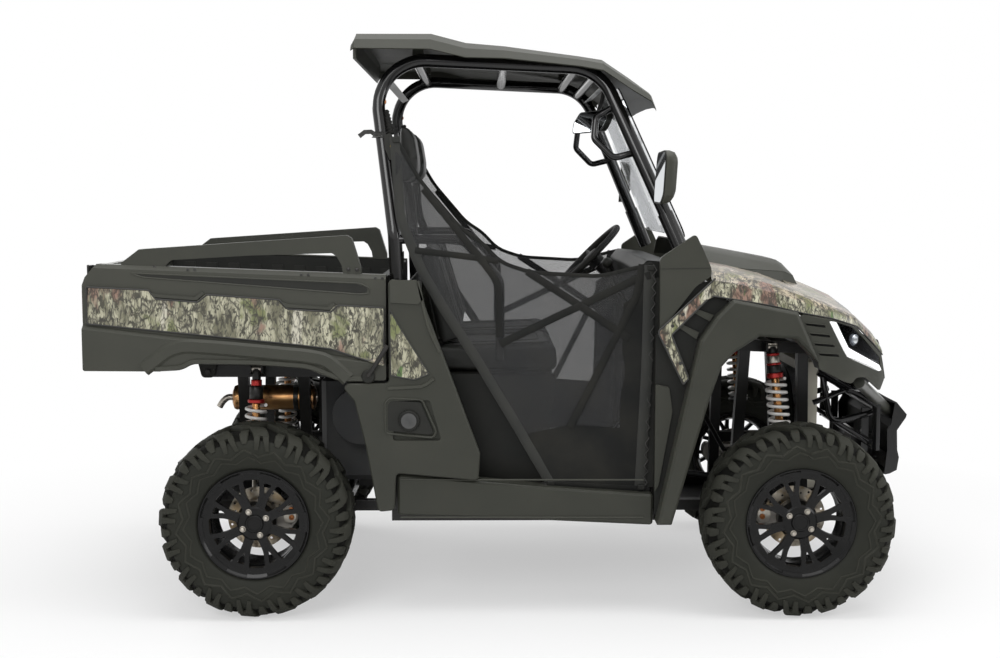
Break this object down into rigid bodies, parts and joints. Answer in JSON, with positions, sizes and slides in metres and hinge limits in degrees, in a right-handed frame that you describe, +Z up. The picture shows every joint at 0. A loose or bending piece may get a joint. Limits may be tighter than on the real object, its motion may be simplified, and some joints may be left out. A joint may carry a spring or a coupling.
{
  "type": "side by side utility vehicle",
  "caption": "Two-seat side by side off-road utility vehicle with roll cage, roof, door nets, winch bumper, steered front wheels and a tilting cargo bed with tailgate.",
  "frame": {"origin": "on the ground, at the middle of the overall box's length and width", "axes": "+X forward, +Y to the left, +Z up"},
  "size_m": [2.9654, 1.5746, 2.0517],
  "materials": {
    "black_steel": "satin",
    "gloss_tube": "gloss",
    "bare_steel": "satin",
    "spring_white": "gloss",
    "wheel_black": "gloss",
    "tyre": "matte",
    "cast_alloy": "satin",
    "engine_grey": "satin",
    "exhaust_steel": "satin",
    "radiator_tan": "matte",
    "charcoal_plastic": "satin",
    "black_plastic": "matte",
    "camo": "satin",
    "clear_sheet": "gloss",
    "lamp_clear": "gloss",
    "lamp_red": "gloss",
    "seat_vinyl": "satin",
    "rubber_grip": "matte",
    "web": "matte"
  },
  "bodies": {
    "chassis": {"chassis_frame": "black_steel", "rear_subframe": "black_steel", "front_subframe": "black_steel", "suspension_arms": "black_steel", "shocks": "bare_steel", "coil_springs": "spring_white", "rear_hub_carriers": "cast_alloy", "half_shafts": "black_steel", "engine_block": "engine_grey", "muffler": "exhaust_steel", "radiator": "radiator_tan", "steering_column": "black_steel", "roll_cage": "gloss_tube", "roof": "black_plastic", "windshield": "clear_sheet", "mirrors": "black_plastic", "floor_pan": "black_plastic", "seat_base": "black_plastic", "seat_cushions": "seat_vinyl", "seat_backs": "seat_vinyl", "headrests": "seat_vinyl", "cab_rear_panels": "charcoal_plastic", "cab_corner_panels": "camo", "side_sills": "charcoal_plastic", "front_flares": "charcoal_plastic", "front_fenders": "camo", "hood": "camo", "cowl": "black_plastic", "dash": "black_plastic", "headlights": "lamp_clear", "nose_panel": "black_plastic", "bumper": "gloss_tube", "winch": "black_steel", "door_nets": "web"},
    "steered_knuckle_left": {"knuckle_left": "cast_alloy"},
    "wheel_front_left": {"rim_front_left": "wheel_black", "tyre_front_left": "tyre"},
    "wheel_rear_left": {"rim_rear_left": "wheel_black", "tyre_rear_left": "tyre"},
    "steered_knuckle_right": {"knuckle_right": "cast_alloy"},
    "wheel_front_right": {"rim_front_right": "wheel_black", "tyre_front_right": "tyre"},
    "wheel_rear_right": {"rim_rear_right": "wheel_black", "tyre_rear_right": "tyre"},
    "hand_wheel": {"steering_wheel": "rubber_grip"},
    "steering_rack": {"tie_rods": "bare_steel"},
    "bed": {"cargo_bed": "black_plastic", "bed_side_panels": "charcoal_plastic", "bed_camo_panels": "camo", "bed_rails": "black_plastic", "tail_lamps": "lamp_red"},
    "gate": {"tailgate": "charcoal_plastic"}
  },
  "joints": [
    {"name": "steering_turn", "type": "hinge", "parent": "chassis", "child": "hand_wheel", "pos_m": [0.351, 0.35, 1.231], "axis": [-0.7071, 0, 0.7071], "range_deg": [-240, 240]},
    {"name": "rack_slide", "type": "slide", "parent": "chassis", "child": "steering_rack", "axis": [0, 1, 0], "range_m": [-0.0555, 0.0555]},
    {"name": "bed_tilt", "type": "hinge", "parent": "chassis", "child": "bed", "pos_m": [-1.11, 0, 0.83], "axis": [0, -1, 0], "range_deg": [0, 40]},
    {"name": "tailgate_drop", "type": "hinge", "parent": "bed", "child": "gate", "pos_m": [-1.462, 0, 0.905], "axis": [0, -1, 0], "range_deg": [0, 90]},
    {"name": "steer_left", "type": "hinge", "parent": "chassis", "child": "steered_knuckle_left", "pos_m": [1.015, 0.548, 0.34], "axis": [0, 0, 1], "range_deg": [-30.2, 30.2]},
    {"name": "roll_front_left", "type": "hinge", "parent": "steered_knuckle_left", "child": "wheel_front_left", "pos_m": [1.015, 0.63, 0.34], "axis": [0, 1, 0], "continuous": true},
    {"name": "roll_rear_left", "type": "hinge", "parent": "chassis", "child": "wheel_rear_left", "pos_m": [-0.89, 0.6075, 0.34], "axis": [0, 1, 0], "continuous": true},
    {"name": "steer_right", "type": "hinge", "parent": "chassis", "child": "steered_knuckle_right", "pos_m": [1.015, -0.548, 0.34], "axis": [0, 0, 1], "range_deg": [-30.2, 30.2]},
    {"name": "roll_front_right", "type": "hinge", "parent": "steered_knuckle_right", "child": "wheel_front_right", "pos_m": [1.015, -0.63, 0.34], "axis": [0, 1, 0], "continuous": true},
    {"name": "roll_rear_right", "type": "hinge", "parent": "chassis", "child": "wheel_rear_right", "pos_m": [-0.89, -0.6075, 0.34], "axis": [0, 1, 0], "continuous": true}
  ],
  "couplings": [
    {"joint": "steer_left", "follows": "steering_turn", "ratio": 0.125},
    {"joint": "steer_right", "follows": "steering_turn", "ratio": 0.125},
    {"joint": "rack_slide", "follows": "steering_turn", "m_per_rad": -0.01313}
  ]
}
